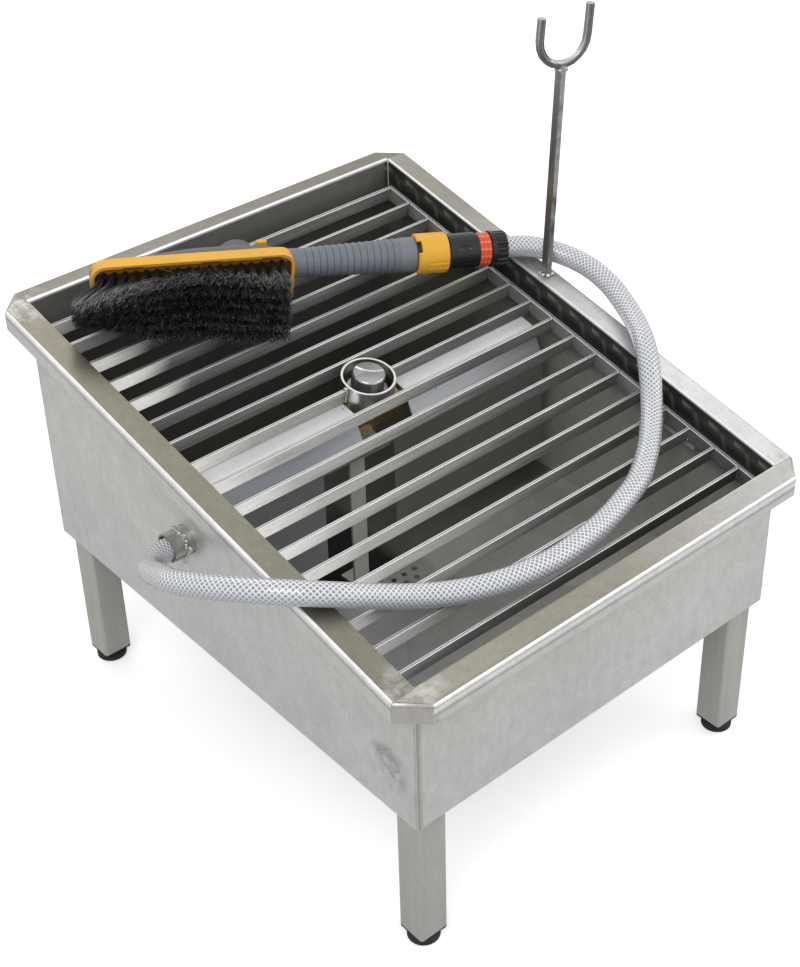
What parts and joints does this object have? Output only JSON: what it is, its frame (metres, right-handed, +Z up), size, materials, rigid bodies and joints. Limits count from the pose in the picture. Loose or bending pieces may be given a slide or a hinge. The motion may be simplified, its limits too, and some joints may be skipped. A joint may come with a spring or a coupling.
{
  "type": "boot washer",
  "caption": "Sloping steel tub on legs with a lift-out bar grate, foot-pressed water valve, a hose-fed scrubbing brush lying on the grate and a forked brush hook.",
  "frame": {"origin": "on the floor, under the middle of the box round everything but the hose", "axes": "+X to the side with the brush hook, +Y to the high back wall, +Z up"},
  "size_m": [0.561, 0.578, 0.6504],
  "materials": {
    "tub_steel": "satin, ground welds at the rim corners",
    "drain_steel": "satin",
    "leg_steel": "satin tube",
    "grate_steel": "bright, drawn edges, heat tint at the welds",
    "guard_steel": "bright rolled sheet",
    "button_chrome": "polished",
    "collar_steel": "turned",
    "valve_brass": "cast, dull",
    "pipe_steel": "bright, discoloured round the weld",
    "hook_steel": "bright round bar",
    "inner_hose_rubber": "matt",
    "hose_plastic": "clear wall over a white braid",
    "black_plastic": "moulded",
    "yellow_plastic": "moulded, slightly scuffed",
    "bristle_plastic": "cut filament",
    "handle_plastic": "soft ribbed grip",
    "connector_plastic": "moulded",
    "orange_plastic": "moulded"
  },
  "bodies": {
    "tub": {"wall_front": "tub_steel", "wall_back": "tub_steel", "wall_left": "tub_steel", "wall_right": "tub_steel", "floor_pan": "tub_steel", "drain_outlet": "drain_steel", "leg_front_left": "leg_steel", "leg_front_right": "leg_steel", "leg_back_left": "leg_steel", "leg_back_right": "leg_steel", "leg_cap_front_left": "black_plastic", "leg_cap_front_right": "black_plastic", "leg_cap_back_left": "black_plastic", "leg_cap_back_right": "black_plastic", "valve_collar": "collar_steel", "valve_body": "valve_brass", "valve_bracket": "tub_steel", "supply_pipe": "pipe_steel", "hose_socket": "pipe_steel", "hose_inner": "inner_hose_rubber", "hose": "hose_plastic", "brush_hook": "hook_steel"},
    "foot_front_left": {"foot_front_left": "black_plastic"},
    "foot_front_right": {"foot_front_right": "black_plastic"},
    "foot_back_left": {"foot_back_left": "black_plastic"},
    "foot_back_right": {"foot_back_right": "black_plastic"},
    "button": {"valve_button": "button_chrome"},
    "grate": {"grate_side_left": "grate_steel", "grate_side_right": "grate_steel", "grate_bar_1": "grate_steel", "grate_bar_2": "grate_steel", "grate_bar_3": "grate_steel", "grate_bar_4": "grate_steel", "grate_bar_5": "grate_steel", "grate_bar_6": "grate_steel", "grate_bar_7": "grate_steel", "grate_bar_8_left": "grate_steel", "grate_bar_8_right": "grate_steel", "grate_bar_9": "grate_steel", "grate_bar_10": "grate_steel", "grate_bar_11": "grate_steel", "grate_bar_12": "grate_steel", "grate_bar_13": "grate_steel", "grate_bar_14": "grate_steel", "grate_bar_15": "grate_steel", "grate_bar_16": "grate_steel", "grate_bar_17": "grate_steel", "grate_bar_front": "grate_steel", "valve_ring": "grate_steel", "splash_guard": "guard_steel"},
    "brush": {"brush_frame": "yellow_plastic", "bristles": "bristle_plastic", "brush_body": "yellow_plastic", "brush_knob": "yellow_plastic", "brush_latch": "black_plastic", "brush_handle": "handle_plastic", "hose_connector": "connector_plastic", "lock_ring": "orange_plastic", "hose_nut": "connector_plastic"},
    "sleeve": {"brush_sleeve": "yellow_plastic"}
  },
  "joints": [
    {"name": "button_press", "type": "slide", "parent": "tub", "child": "button", "axis": [0, 0.197, -0.9804], "range_m": [0, 0.007], "stiffness_N_per_m": 1500, "springref_m": -0.02},
    {"name": "grate_lift", "type": "slide", "parent": "tub", "child": "grate", "axis": [0, -0.197, 0.9804], "range_m": [0, 0.12], "deforming": ["hose"]},
    {"name": "brush_lift", "type": "slide", "parent": "grate", "child": "brush", "axis": [-0.2, -0.35, 0.9151], "range_m": [0, 0.12], "deforming": ["hose"]},
    {"name": "sleeve_turn", "type": "hinge", "parent": "brush", "child": "sleeve", "pos_m": [0.12233, 0.11281, 0.40414], "axis": [0.9018, -0.4236, -0.0851], "range_deg": [0, 90]},
    {"name": "foot_screw_front_left", "type": "slide", "parent": "tub", "child": "foot_front_left", "axis": [0, 0, -1], "range_m": [0, 0.008]},
    {"name": "foot_screw_front_right", "type": "slide", "parent": "tub", "child": "foot_front_right", "axis": [0, 0, -1], "range_m": [0, 0.008]},
    {"name": "foot_screw_back_left", "type": "slide", "parent": "tub", "child": "foot_back_left", "axis": [0, 0, -1], "range_m": [0, 0.008]},
    {"name": "foot_screw_back_right", "type": "slide", "parent": "tub", "child": "foot_back_right", "axis": [0, 0, -1], "range_m": [0, 0.008]}
  ]
}
